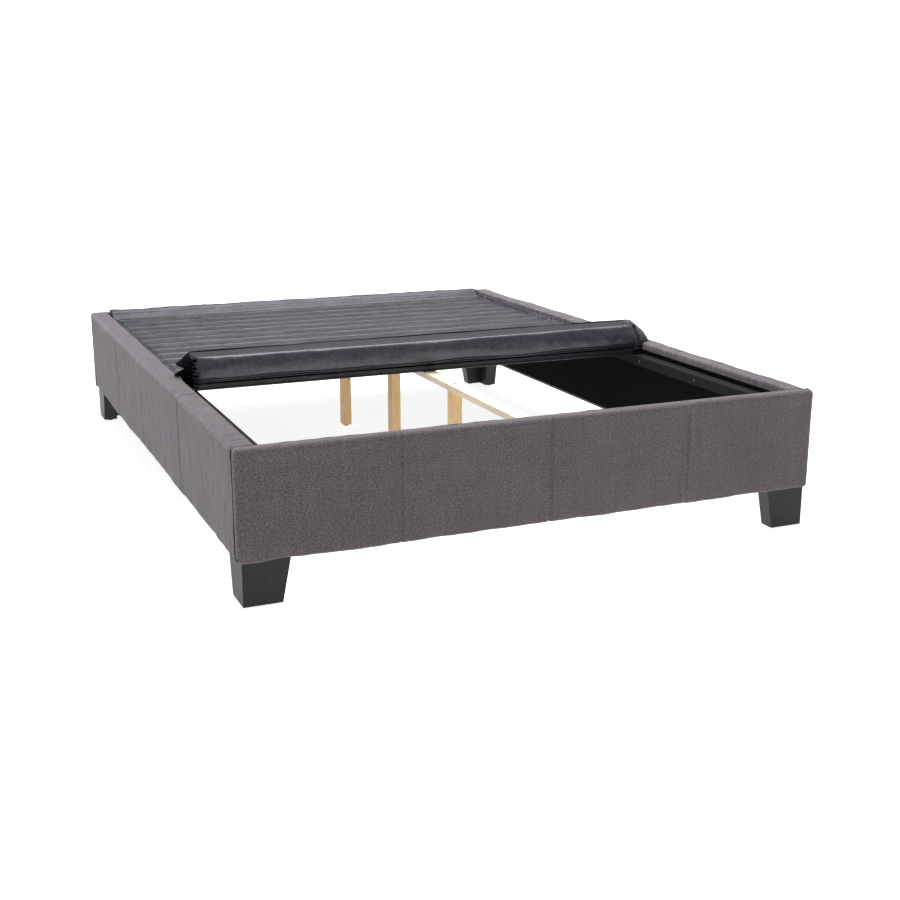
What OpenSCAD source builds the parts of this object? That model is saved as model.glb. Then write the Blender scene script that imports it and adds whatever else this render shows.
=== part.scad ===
// Upholstered platform bed base with a fold-up slat mat. Millimetres.
// X runs across the bed, Y from foot (-) to head (+), Z up. The origin is on the floor under the centre.

/* [Overall] */
// Width over the upholstered side rails
bed_w = 1630; // [1300:10:2000]
// Length over the upholstered foot and head rails
bed_l = 2140; // [1900:10:2300]
// Height of the upholstered rails
rail_h = 278; // [240:1:340]
// Height of the rails' underside above the floor
leg_h = 114; // [80:1:160]

/* [Rails] */
// Thickness of an upholstered side rail
side_t = 60; // [52:1:80]
// Thickness of the upholstered foot and head rails
end_t = 36; // [32:1:50]
// Thickness of the board inside a side rail
side_board_t = 28; // [22:1:34]
// Thickness of the board inside the foot or head rail
end_board_t = 16; // [14:1:20]
// Thickness of the black lining on the inner faces
lining_t = 2; // [1:0.5:4]
// Height of the fabric lip that turns over a side rail's inner top edge
side_lip = 22; // [16:1:30]
// Height of the fabric lip that turns over the foot or head rail's inner top edge
end_lip = 12; // [10:1:20]
// Padding under the boards and past the ends of the foot and head boards
pad_t = 10; // [8:1:16]
// Radius of the padded outer top edge
top_r = 18; // [8:1:22]
// Radius of the other padded edges
edge_r = 8; // [4:1:9]

/* [Ledges and beam] */
// Depth from the rail tops down to the ledges that carry the slats
ledge_drop = 35; // [30:1:60]
// Width of a ledge
ledge_w = 40; // [30:1:60]
// Height of a ledge
ledge_h = 30; // [20:1:40]
// Gap between each end of a ledge and the foot or head rail
ledge_gap = 25; // [10:1:60]
// Screws in each ledge
ledge_screws_n = 7; // [3:1:12]
// Width of the centre beam
beam_w = 42; // [30:1:70]
// Thickness of the centre beam
beam_t = 18; // [15:1:30]
// Size of a centre leg across the bed
mid_leg_x = 30; // [24:1:45]
// Size of a centre leg along the bed
mid_leg_y = 38; // [24:1:60]
// Distance between the centre legs
mid_leg_pitch = 500; // [300:10:650]
// Thickness of the steel of the beam brackets and corner brackets
steel_t = 3; // [2:0.5:4]

/* [Corner legs] */
// Length of each wing of a corner leg at its top
wing_top = 120; // [110:1:160]
// Length of each wing of a corner leg at the floor
wing_low = 98; // [90:1:109]
// Thickness of the wings
wing_t = 46; // [40:1:55]
// How far the legs are set in from the rails' faces
leg_inset = 10; // [4:1:16]
// Height of the glide under each corner leg
glide_h = 4; // [3:1:8]
// Diameter of the glides under the corner legs
glide_d = 20; // [14:1:26]
// Diameter of the domed glides under the centre legs
dome_d = 27; // [18:1:29]

/* [Slat mat] */
// Slats in the part of the mat that stays flat
fixed_n = 14; // [6:1:16]
// Slats in the part that folds, an even number
fold_n = 8; // [4:2:10]
// Width of a slat
slat_w = 76; // [50:1:80]
// Thickness of a slat
slat_t = 8; // [6:0.5:10]
// Thickness of the padded vinyl over each face of a slat
vinyl_t = 1.2; // [0.8:0.1:2]
// Gap between the mat and each side rail
mat_side_gap = 7; // [4:1:20]
// Gap between each end of the mat and the foot or head rail
mat_end_gap = 38; // [30:1:60]
// Distance from a slat's end to the end of its pocket
slat_end_gap = 33; // [10:1:40]
// Gap between two folded layers
fold_gap = 0.6; // [0.4:0.1:2]
// Length of the padded flap at the foot of the mat
flap_l = 64; // [50:1:80]
// Thickness of the foot flap
flap_t = 8; // [5:1:10]
// Thickness of the head flap
head_flap_t = 2.5; // [1.5:0.5:4]

/* [Fasteners] */
// Diameter of the bolts of the legs and corner brackets
bolt_d = 8; // [6:1:8]
// Diameter of the screws of the ledges and beam brackets
screw_d = 5; // [3:0.5:5]

/* [Hidden] */
$fn = 48;
fit = 0.2;                                        // clearance round slats, bolts and screws
seat_gap = 0.4;                                   // mat above the ledges and the beam
rail_top = leg_h + rail_h;
half_w = bed_w / 2;
half_l = bed_l / 2;
in_x = half_w - side_t;                           // inner face of a side rail
in_y = half_l - end_t;                            // inner face of the foot or head rail
seat_z = rail_top - ledge_drop;                   // top of the ledges and of the beam
side_board_x = in_x + lining_t;
end_board_y = in_y + lining_t;
board_z = leg_h + pad_t;
side_board_h = rail_h - pad_t - side_lip;
end_board_h = rail_h - pad_t - end_lip;
end_board_l = bed_w - 2 * pad_t;
end_top_r = 0.7 * top_r;                          // the thinner rails are less round
end_corner_r = 14;                                // upright corners of the bed

mat_t = slat_t + 2 * vinyl_t;
mat_z = seat_z + seat_gap;
mat_w = 2 * (in_x - mat_side_gap);
slat_l = mat_w - 2 * slat_end_gap;
pitch = 2 * (in_y - mat_end_gap) / (fixed_n + fold_n);
mat_head_y = in_y - mat_end_gap;
fold_y = mat_head_y - fixed_n * pitch;            // front fold line of the folded stack
layer = mat_t + fold_gap;
stack_top = mat_z + fold_n * layer + mat_t;
rib_gap = 0.5;                                    // half of the gap between two sleeves laid flat
pocket_gap = 0.1;                                 // slat in its pocket
flap_rest = 0.6;                                  // head flap above the head rail
flap_end_gap = 4;                                 // head flap's edge from the rail's outer face

flap_seam = 1;                                    // flap's hinge line in front of the stack
flap_pivot_y = fold_y - flap_seam;
flap_pivot_z = stack_top + 0.3;
flap_back_y = flap_pivot_y - flap_seam;

beam_z = seat_z - beam_t;
beam_end_gap = 0.5;
beam_half_l = in_y - steel_t - beam_end_gap;
beam_side_gap = 0.3;                              // beam in its brackets
dome_h = 8;
mid_bolt_len = 45;                                // bolt length in a centre leg
mid_leg_y0 = 40;                                  // the middle leg stands a little towards the head
MID_Y = [mid_leg_y0 - mid_leg_pitch, mid_leg_y0, mid_leg_y0 + mid_leg_pitch];

bracket_h = 120;
bracket_wing = 60;
bracket_up = 40;                                  // bracket above the rails' underside
bracket_z = leg_h + bracket_up;
bracket_bolt_edge = 25;
bracket_bolt_z = [bracket_z + bracket_bolt_edge, bracket_z + bracket_h - bracket_bolt_edge];
bracket_bolt_in = 38;                             // bolt line from the corner
bolt_head_d = 1.8 * bolt_d;
bolt_head_h = 5;
leg_bolt_len = 60;
leg_bolt_up = 30;
leg_bolt_in = [80, 85];                           // leg bolts from the leg's corner, in X and Y
side_bolt_in = 20;                                // bracket bolt in a side board
end_bolt_in = 12;                                 // bracket bolt in the foot or head board
screw_head_d = 1.9 * screw_d;
screw_head_h = 3;
ledge_screw_in = 14;                              // screw length in the board
ledge_screw_end = 60;                             // first screw from a ledge's end
cradle_depth = 40;
cradle_h = 55;
cradle_screw_in = 12;
cradle_screw_x = beam_w / 2 - 8;
cradle_screw_z = beam_z - cradle_h / 2 + 6;
glide_edge = 6;                                   // glide from the end of a leg's wing
pin_d = 5;
pin_len = 14;

FIXED = [for (i = [1:fixed_n]) str("fixed_slat_", i)];
SLATS = [for (i = [1:fold_n]) str("fold_slat_", i)];
SLEEVES = [for (i = [1:fold_n]) str("fold_sleeve_", i)];

CLOTH = [0.31, 0.29, 0.31];
VINYL = [0.12, 0.12, 0.14];
BLACK = [0.05, 0.05, 0.055];
PINE = [0.86, 0.72, 0.52];
BOARD = [0.70, 0.58, 0.42];
STEEL = [0.35, 0.35, 0.37];

// ---- helpers ----

// Square with one radius per corner: [low left, low right, top right, top left]
module soft_rect(w, h, r) {
    difference() {
        square([w, h]);
        for (c = [0:3]) {
            right = (c == 1 || c == 2);
            top = (c >= 2);
            translate([right ? w : 0, top ? h : 0])
                mirror([right ? 1 : 0, 0])
                    mirror([0, top ? 1 : 0])
                        difference() {
                            translate([-1, -1])
                                square(r[c] + 1);
                            translate([r[c], r[c]])
                                circle(r[c]);
                        }
        }
    }
}

// A profile drawn in Y and Z, made into a bar of length l along X, centred
module bar_x(l) {
    translate([-l / 2, 0, 0])
        rotate([90, 0, 90])
            linear_extrude(l)
                children();
}

// A profile drawn in X and Z, made into a bar of length l along Y, centred
module bar_y(l) {
    translate([0, l / 2, 0])
        rotate([90, 0, 0])
            linear_extrude(l)
                children();
}

// Section of one padded sleeve: y from 0 to the pitch, z from 0 to the mat's thickness
module sleeve_section() {
    r = mat_t / 2;
    w = pitch - 2 * rib_gap;
    translate([rib_gap + r, 0])
        square([w - 2 * r, mat_t]);
    for (y = [rib_gap + r, rib_gap + w - r])
        translate([y, r])
            circle(r);
}

module at_corners() {
    for (sx = [0, 1])
        for (sy = [0, 1])
            mirror([sx, 0, 0])
                mirror([0, sy, 0])
                    children();
}

// ---- fasteners, drawn larger by `grow` to cut their own holes ----

// Bolts at the back right corner: brackets to boards, and boards to leg
module corner_bolt_set(grow = 0) {
    r = bolt_d / 2 + grow;
    hr = bolt_head_d / 2 + grow;
    for (z = bracket_bolt_z) {
        translate([in_x - steel_t, in_y - bracket_bolt_in, z])
            rotate([0, 90, 0]) {
                cylinder(r = r, h = steel_t + lining_t + side_bolt_in + grow);
                translate([0, 0, -bolt_head_h])
                    cylinder(r = hr, h = bolt_head_h);
            }
        translate([in_x - bracket_bolt_in, in_y - steel_t, z])
            rotate([-90, 0, 0]) {
                cylinder(r = r, h = steel_t + lining_t + end_bolt_in + grow);
                translate([0, 0, -bolt_head_h])
                    cylinder(r = hr, h = bolt_head_h);
            }
    }
    leg_bolt_set(grow);
}

module leg_bolt_set(grow = 0) {
    low = leg_h - (leg_bolt_len - leg_bolt_up) - grow;
    for (p = [[side_board_x + side_board_t / 2, half_l - leg_inset - leg_bolt_in[1]],
              [half_w - leg_inset - leg_bolt_in[0], end_board_y + end_board_t / 2]])
        translate([p[0], p[1], low])
            cylinder(r = bolt_d / 2 + grow, h = leg_bolt_len + 2 * grow);
}

// Bolts down through the beam into the centre legs, their heads flush with the beam
module mid_bolt_set(grow = 0) {
    for (y = MID_Y)
        translate([0, y, 0]) {
            translate([0, 0, beam_z - mid_bolt_len - grow])
                cylinder(r = bolt_d / 2 + grow, h = mid_bolt_len + beam_t - 1 + grow);
            translate([0, 0, seat_z - bolt_head_h - grow])
                cylinder(r = bolt_head_d / 2 + grow, h = bolt_head_h + 2 * grow);
        }
}

module ledge_screw_set(grow = 0) {
    span = 2 * (in_y - ledge_gap - ledge_screw_end);
    for (i = [0:ledge_screws_n - 1])
        translate([in_x - ledge_w, -span / 2 + i * span / (ledge_screws_n - 1), seat_z - ledge_h / 2])
            rotate([0, 90, 0]) {
                cylinder(r = screw_d / 2 + grow, h = ledge_w + lining_t + ledge_screw_in + grow);
                cylinder(r = screw_head_d / 2 + grow, h = screw_head_h + grow);
            }
}

// Screws of the beam bracket at the head
module cradle_screw_set(grow = 0) {
    for (s = [-1, 1])
        translate([s * cradle_screw_x, in_y - steel_t, cradle_screw_z])
            rotate([-90, 0, 0]) {
                cylinder(r = screw_d / 2 + grow, h = steel_t + lining_t + cradle_screw_in + grow);
                translate([0, 0, -screw_head_h])
                    cylinder(r = screw_head_d / 2 + grow, h = screw_head_h);
            }
}

module corner_glide_set(grow = 0) {
    near = half_w - leg_inset - wing_t / 2;
    far = half_w - leg_inset - wing_low + glide_d / 2 + glide_edge;
    near_y = half_l - leg_inset - wing_t / 2;
    far_y = half_l - leg_inset - wing_low + glide_d / 2 + glide_edge;
    for (p = [[near, near_y], [far, near_y], [near, far_y]])
        translate([p[0], p[1], 0]) {
            cylinder(r = glide_d / 2, h = glide_h);
            cylinder(r = pin_d / 2 + grow, h = glide_h + pin_len + grow);
        }
}

// ---- rails ----

module side_board() {
    difference() {
        translate([side_board_x, -in_y, board_z])
            cube([side_board_t, 2 * in_y, side_board_h]);
        ledge_screw_set(fit);
        for (s = [0, 1])
            mirror([0, s, 0])
                corner_bolt_set(fit);
    }
}

module side_lining() {
    difference() {
        translate([in_x, -in_y, board_z])
            cube([lining_t, 2 * in_y, side_board_h]);
        ledge_screw_set(fit);
        for (s = [0, 1])
            mirror([0, s, 0])
                corner_bolt_set(fit);
    }
}

module side_upholstery() {
    difference() {
        translate([in_x, 0, leg_h])
            bar_y(2 * in_y)
                soft_rect(side_t, rail_h, [edge_r / 2, edge_r, top_r, edge_r]);
        translate([in_x - 1, -in_y - 1, board_z])
            cube([1 + lining_t + side_board_t, 2 * in_y + 2, side_board_h]);
        for (s = [0, 1])
            mirror([0, s, 0])
                leg_bolt_set(fit);
    }
}

module end_board() {
    difference() {
        translate([-end_board_l / 2, end_board_y, board_z])
            cube([end_board_l, end_board_t, end_board_h]);
        cradle_screw_set(fit);
        for (s = [0, 1])
            mirror([s, 0, 0])
                corner_bolt_set(fit);
    }
}

module end_lining() {
    difference() {
        translate([-end_board_l / 2, in_y, board_z])
            cube([end_board_l, lining_t, end_board_h]);
        cradle_screw_set(fit);
        for (s = [0, 1])
            mirror([s, 0, 0])
                corner_bolt_set(fit);
    }
}

module end_upholstery() {
    difference() {
        translate([0, in_y, leg_h])
            bar_x(bed_w)
                soft_rect(end_t, rail_h, [edge_r / 2, edge_r, end_top_r, 0.8 * edge_r]);
        translate([-end_board_l / 2, in_y - 1, board_z])
            cube([end_board_l, 1 + lining_t + end_board_t, end_board_h]);
        for (s = [0, 1])
            mirror([s, 0, 0]) {
                leg_bolt_set(fit);
                translate([half_w - end_corner_r, half_l - end_corner_r, leg_h - 1])
                    linear_extrude(rail_h + 2)
                        difference() {
                            square(end_corner_r + 1);
                            circle(end_corner_r);
                        }
            }
    }
}

// ---- ledges and corner brackets ----

module ledge() {
    difference() {
        translate([in_x - ledge_w, -in_y + ledge_gap, seat_z - ledge_h])
            cube([ledge_w, 2 * (in_y - ledge_gap), ledge_h]);
        ledge_screw_set(fit);
    }
}

// The screws of the ledges and of the beam brackets
module frame_screws() {
    color(STEEL)
        for (s = [0, 1]) {
            mirror([s, 0, 0])
                ledge_screw_set();
            mirror([0, s, 0])
                cradle_screw_set();
        }
}

module corner_brackets() {
    color(STEEL)
        at_corners()
            difference() {
                translate([0, 0, bracket_z])
                    linear_extrude(bracket_h)
                        difference() {
                            translate([in_x - bracket_wing, in_y - bracket_wing])
                                square(bracket_wing);
                            translate([in_x - bracket_wing - 1, in_y - bracket_wing - 1])
                                square(bracket_wing + 1 - steel_t);
                        }
                corner_bolt_set(fit);
            }
}

module frame_bolts() {
    color(STEEL) {
        at_corners()
            corner_bolt_set();
        mid_bolt_set();
    }
}

// ---- corner legs ----

// One wing along X of the back right leg, its inner end leaning outwards to the floor
module leg_wing() {
    x = half_w - leg_inset;
    translate([0, half_l - leg_inset, 0])
        rotate([90, 0, 0])
            linear_extrude(wing_t)
                polygon([[x, glide_h], [x, leg_h], [x - wing_top, leg_h], [x - wing_low, glide_h]]);
}

module corner_leg() {
    shift = (half_w - half_l);
    color(BLACK)
        difference() {
            union() {
                leg_wing();
                // the same wing along Y: swap X and Y about the corner's own diagonal
                translate([shift, -shift, 0])
                    mirror([1, -1, 0])
                        leg_wing();
            }
            leg_bolt_set(fit);
            corner_glide_set(fit);
        }
}

module corner_glides() {
    color(BLACK)
        at_corners()
            corner_glide_set();
}

// ---- centre beam and legs ----

module centre_beam() {
    color(PINE)
        difference() {
            translate([-beam_w / 2, -beam_half_l, beam_z])
                cube([beam_w, 2 * beam_half_l, beam_t]);
            mid_bolt_set(fit);
        }
}

module centre_leg(y) {
    color(PINE)
        difference() {
            translate([-mid_leg_x / 2, y - mid_leg_y / 2, dome_h])
                cube([mid_leg_x, mid_leg_y, beam_z - dome_h]);
            translate([0, y, 0])
                cylinder(r = pin_d / 2 + fit, h = dome_h + pin_len + fit);
            mid_bolt_set(fit);
        }
}

// Domed glide: a cap of a sphere, standing on the floor, with a pin up into the leg
module centre_glides() {
    r = dome_d / 2;
    ball_r = (r * r + dome_h * dome_h) / (2 * dome_h);
    color(BLACK)
        for (y = MID_Y)
            translate([0, y, 0]) {
                intersection() {
                    translate([0, 0, ball_r])
                        sphere(ball_r);
                    cylinder(r = r, h = dome_h);
                }
                translate([0, 0, 1])
                    cylinder(r = pin_d / 2, h = dome_h + pin_len - 1);
            }
}

// Steel cradle at each end of the beam: a back plate on the rail and a folded shelf under the beam
module beam_brackets() {
    cheek_x = beam_w / 2 + beam_side_gap;
    color(STEEL)
        for (s = [0, 1])
            mirror([0, s, 0])
                difference() {
                    union() {
                        translate([-cheek_x - steel_t, in_y - steel_t, beam_z - cradle_h + beam_t])
                            cube([2 * (cheek_x + steel_t), steel_t, cradle_h]);
                        translate([-cheek_x - steel_t, in_y - cradle_depth, beam_z - steel_t])
                            cube([2 * (cheek_x + steel_t), cradle_depth, steel_t]);
                        for (x = [-cheek_x - steel_t, cheek_x])
                            translate([x, in_y - cradle_depth, beam_z - steel_t])
                                cube([steel_t, cradle_depth, beam_t + steel_t]);
                    }
                    cradle_screw_set(fit);
                }
}

// ---- slat mat ----

// Slat i of the flat part, counted from the fold line towards the head
module fixed_slat(i) {
    slat_at(fold_y + (i - 1) * pitch, mat_z);
}

// Slat of folded layer i, counted upwards from the flat part
module fold_slat(i) {
    slat_at(fold_y, mat_z + i * layer);
}

module slat_at(y, z, grow = 0) {
    color(PINE)
        translate([-slat_l / 2 - grow, y + (pitch - slat_w) / 2 - grow, z + vinyl_t - grow])
            cube([slat_l + 2 * grow, slat_w + 2 * grow, slat_t + 2 * grow]);
}

// The vinyl cover of the flat part: one padded pocket per slat, a web between them, and the head
// flap that bridges the end gap and lies over the head rail
module mat_cover() {
    web_t = 2.4;
    lap = 12;                                     // flap sewn onto the last pocket
    over_z = rail_top + flap_rest;
    mat_top = mat_z + mat_t;
    bend_y = in_y + 3;
    color(VINYL)
        difference() {
            union() {
                bar_x(mat_w) {
                    for (i = [0:fixed_n - 1])
                        translate([fold_y + i * pitch, mat_z])
                            sleeve_section();
                    translate([fold_y + mat_t, mat_z + mat_t / 2 - web_t / 2])
                        square([mat_head_y - fold_y - 2 * mat_t, web_t]);
                }
                bar_x(mat_w - 2)
                    polygon([
                        [mat_head_y - lap, mat_top - 0.5],
                        [mat_head_y - 1, mat_top - 0.5],
                        [bend_y, over_z],
                        [half_l - flap_end_gap, over_z],
                        [half_l - flap_end_gap, over_z + head_flap_t],
                        [bend_y - 0.6, over_z + head_flap_t],
                        [mat_head_y - 2, mat_top + head_flap_t - 0.5],
                        [mat_head_y - lap, mat_top + head_flap_t - 0.5]]);
            }
            for (i = [1:fixed_n])
                slat_at(fold_y + (i - 1) * pitch, mat_z, pocket_gap);
        }
}

module fold_sleeve(i) {
    color(VINYL)
        difference() {
            translate([0, fold_y, mat_z + i * layer])
                bar_x(mat_w)
                    sleeve_section();
            slat_at(fold_y, mat_z + i * layer, pocket_gap);
        }
}

// Padded flap sewn along the top layer's front edge, hanging down over the front of the stack
module foot_flap() {
    color(VINYL)
        translate([0, flap_back_y - flap_t, flap_pivot_z - flap_l])
            bar_x(mat_w)
                soft_rect(flap_t, flap_l, [3, 1, 1, 3]);
}

// ---- nodes ----

color(BOARD) mirror([1, 0, 0]) side_board();  // left_board
color(BOARD) side_board();  // right_board
color(BOARD) mirror([0, 1, 0]) end_board();  // foot_board
color(BOARD) end_board();  // head_board
color(CLOTH) mirror([1, 0, 0]) side_upholstery();  // left_upholstery
color(CLOTH) side_upholstery();  // right_upholstery
color(CLOTH) mirror([0, 1, 0]) end_upholstery();  // foot_upholstery
color(CLOTH) end_upholstery();  // head_upholstery
color(BLACK) mirror([1, 0, 0]) side_lining();  // left_lining
color(BLACK) side_lining();  // right_lining
color(BLACK) mirror([0, 1, 0]) end_lining();  // foot_lining
color(BLACK) end_lining();  // head_lining
color(BLACK) mirror([1, 0, 0]) ledge();  // left_ledge
color(BLACK) ledge();  // right_ledge
corner_brackets();
frame_bolts();
frame_screws();
mirror([1, 0, 0]) mirror([0, 1, 0]) corner_leg();  // leg_front_left
mirror([0, 1, 0]) corner_leg();  // leg_front_right
mirror([1, 0, 0]) corner_leg();  // leg_back_left
corner_leg();  // leg_back_right
corner_glides();
centre_beam();
beam_brackets();
centre_leg(MID_Y[0]);  // centre_leg_foot
centre_leg(MID_Y[1]);  // centre_leg_middle
centre_leg(MID_Y[2]);  // centre_leg_head
centre_glides();
mat_cover();
foot_flap();
for (i = [1:fixed_n])
    fixed_slat(i);
for (i = [1:fold_n])
    fold_slat(i);
for (i = [1:fold_n])
    fold_sleeve(i);
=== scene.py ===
import math

import bmesh
import bpy
import numpy as np
from mathutils import Matrix, Vector


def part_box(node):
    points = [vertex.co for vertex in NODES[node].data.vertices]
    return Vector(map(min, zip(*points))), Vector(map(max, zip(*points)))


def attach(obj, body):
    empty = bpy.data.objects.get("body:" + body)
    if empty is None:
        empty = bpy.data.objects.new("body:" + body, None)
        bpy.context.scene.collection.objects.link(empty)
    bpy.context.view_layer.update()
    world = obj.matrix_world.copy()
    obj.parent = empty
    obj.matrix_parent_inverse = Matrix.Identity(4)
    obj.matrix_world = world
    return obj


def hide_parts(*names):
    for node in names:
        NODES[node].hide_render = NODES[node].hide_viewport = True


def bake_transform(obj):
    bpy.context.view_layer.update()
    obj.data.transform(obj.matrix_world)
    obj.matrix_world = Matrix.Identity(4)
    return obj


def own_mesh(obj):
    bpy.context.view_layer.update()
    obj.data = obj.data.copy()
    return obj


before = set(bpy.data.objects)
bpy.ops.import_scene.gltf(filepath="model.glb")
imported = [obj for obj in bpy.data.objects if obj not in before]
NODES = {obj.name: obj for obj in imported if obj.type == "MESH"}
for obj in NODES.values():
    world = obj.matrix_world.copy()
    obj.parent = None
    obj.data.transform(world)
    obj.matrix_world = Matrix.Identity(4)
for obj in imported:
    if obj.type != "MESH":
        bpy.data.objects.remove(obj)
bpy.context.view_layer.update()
scene = bpy.context.scene
scene.view_settings.view_transform = "Standard"

# ---------------------------------------------------------------- places from the CAD
lo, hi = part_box("right_upholstery")
IN_X, HALF_W = lo.x, hi.x
LEG_H, RAIL_TOP = lo.z, hi.z
IN_Y = hi.y
lo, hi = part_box("head_upholstery")
HALF_L = hi.y
S1_LO, S1_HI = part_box("fold_sleeve_1")
S2_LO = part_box("fold_sleeve_2")[0]
MAT_T = S1_HI.z - S1_LO.z
LAYER = S2_LO.z - S1_LO.z
MAT_Z = S1_LO.z - LAYER
FOLD_Y = S1_LO.y - 0.0005
PITCH = S1_HI.y - S1_LO.y + 0.001
MAT_X = S1_HI.x
FOLD_N = sum(n.startswith("fold_sleeve_") for n in NODES)
FIXED_N = sum(n.startswith("fixed_slat_") for n in NODES)
MAT_HEAD = FOLD_Y + FIXED_N * PITCH
FLAP_LO, FLAP_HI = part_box("foot_flap")
SLAT_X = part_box("fixed_slat_1")[1].x
RAIL_H = RAIL_TOP - LEG_H


# ---------------------------------------------------------------- helpers
class Waves:
    """Smooth repeatable noise, about -2 to 2: a sum of plane waves in seeded directions."""

    def __init__(self, seed, size, n=16):
        r = np.random.default_rng(seed)
        k = r.normal(size=(n, 3))
        k /= np.linalg.norm(k, axis=1)[:, None]
        self.k = k * 2 * math.pi / size * r.uniform(0.55, 1.5, (n, 1))
        self.p = r.uniform(0, 2 * math.pi, n)

    def __call__(self, co, stretch=(1, 1, 1)):
        c = np.asarray(co, float) / np.array(stretch)
        return np.sin(c @ self.k.T + self.p).sum(-1) * math.sqrt(2 / len(self.p))


def smooth01(t):
    t = np.clip(t, 0, 1)
    return t * t * (3 - 2 * t)


def gauss(d, width):
    return np.exp(-((d / width) ** 2))


def new_mesh(name, co, faces, mat, body="root", uv=None, smooth=True):
    me = bpy.data.meshes.new(name)
    me.from_pydata([tuple(c) for c in co], [], [tuple(int(i) for i in f) for f in faces])
    me.validate()
    ob = bpy.data.objects.new(name, me)
    scene.collection.objects.link(ob)
    if mat:
        me.materials.append(mat)
    if uv is not None:
        layer = me.uv_layers.new(name="weave")
        index = np.zeros(len(me.loops), int)
        me.loops.foreach_get("vertex_index", index)
        layer.uv.foreach_set("vector", uv[index].astype(np.float32).ravel())
    if smooth:
        me.polygons.foreach_set("use_smooth", [True] * len(me.polygons))
    outward(me)
    if body:
        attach(ob, body)
    return ob


def outward(me):
    """Turns the faces of a closed mesh outwards."""
    bm = bmesh.new()
    bm.from_mesh(me)
    bmesh.ops.recalc_face_normals(bm, faces=bm.faces)
    if bm.calc_volume(signed=True) < 0:
        bmesh.ops.reverse_faces(bm, faces=bm.faces)
    bm.to_mesh(me)
    bm.free()
    me.update()


def tube_faces(n, m, base=0):
    """Quads of n rings of m points each, closed round, with an n-gon at each end."""
    i, j = np.meshgrid(np.arange(n - 1), np.arange(m), indexing="ij")
    a = base + i * m + j
    b = base + i * m + (j + 1) % m
    quads = np.stack([a, b, b + m, a + m], -1).reshape(-1, 4)
    return [list(q) for q in quads] + [
        list(range(base, base + m))[::-1], list(range(base + (n - 1) * m, base + n * m))]


def corner_loop(points, radii, step=0.006, arc=7):
    """Closed rounded polygon, walked anticlockwise. Returns points, outward normals and length along."""
    pts, nor = [], []
    n = len(points)
    P = [np.array(p, float) for p in points]
    ends = []
    for i in range(n):
        a, b, c = P[i - 1], P[i], P[(i + 1) % n]
        u, v = (a - b) / np.linalg.norm(a - b), (c - b) / np.linalg.norm(c - b)
        turn = math.pi - math.acos(np.clip(u @ v, -1, 1))
        r = max(radii[i], 1e-5)
        t = r * math.tan(turn / 2)
        s, e = b + u * t, b + v * t
        bis = (u + v) / np.linalg.norm(u + v)
        centre = b + bis * r / math.cos(turn / 2)
        left = (u[0] * v[1] - u[1] * v[0]) < 0
        a0 = math.atan2(*(s - centre)[::-1])
        a1 = math.atan2(*(e - centre)[::-1])
        d = (a1 - a0 + math.pi) % (2 * math.pi) - math.pi
        k = arc if r > 0.001 else 2
        ring = []
        for q in range(k + 1):
            g = a0 + d * q / k
            o = np.array([math.cos(g), math.sin(g)])
            ring.append((centre + r * o, o if left else -o))
        ends.append(ring)
    for i in range(n):
        ring = ends[i]
        for p, o in ring:
            pts.append(p)
            nor.append(o)
        p, q = ring[-1][0], ends[(i + 1) % n][0][0]
        d = np.linalg.norm(q - p)
        k = int(d / step)
        if k > 1:
            o = np.array([(q - p)[1], -(q - p)[0]]) / d
            for m in range(1, k):
                pts.append(p + (q - p) * m / k)
                nor.append(o)
    pts, nor = np.array(pts), np.array(nor)
    seg = np.linalg.norm(np.roll(pts, -1, 0) - pts, axis=1)
    return pts, nor, np.concatenate([[0], np.cumsum(seg)[:-1]])


def cord_mesh(path, radius, sides=8):
    """Vertices and faces of a round cord along a path of points, with domed ends."""
    path = np.asarray(path, float)
    t = np.gradient(path, axis=0)
    t /= np.linalg.norm(t, axis=1)[:, None]
    up = np.array([0.0, 0, 1]) if abs(t[0][2]) < 0.9 else np.array([1.0, 0, 0])
    rings = []
    r = np.full(len(path), radius)
    r[0] = r[-1] = radius * 0.5
    for p, d, q in zip(path, t, r):
        a = np.cross(d, up)
        a /= np.linalg.norm(a)
        b = np.cross(a, d)
        g = np.arange(sides) * 2 * math.pi / sides
        rings.append(p + q * (np.cos(g)[:, None] * a + np.sin(g)[:, None] * b))
    co = np.concatenate(rings)
    return co, tube_faces(len(path), sides)


def joined(name, parts, mat, body="root"):
    co, faces, base = [], [], 0
    for c, f in parts:
        co.append(c)
        faces += [[i + base for i in g] for g in f]
        base += len(c)
    return new_mesh(name, np.concatenate(co), faces, mat, body)


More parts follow.
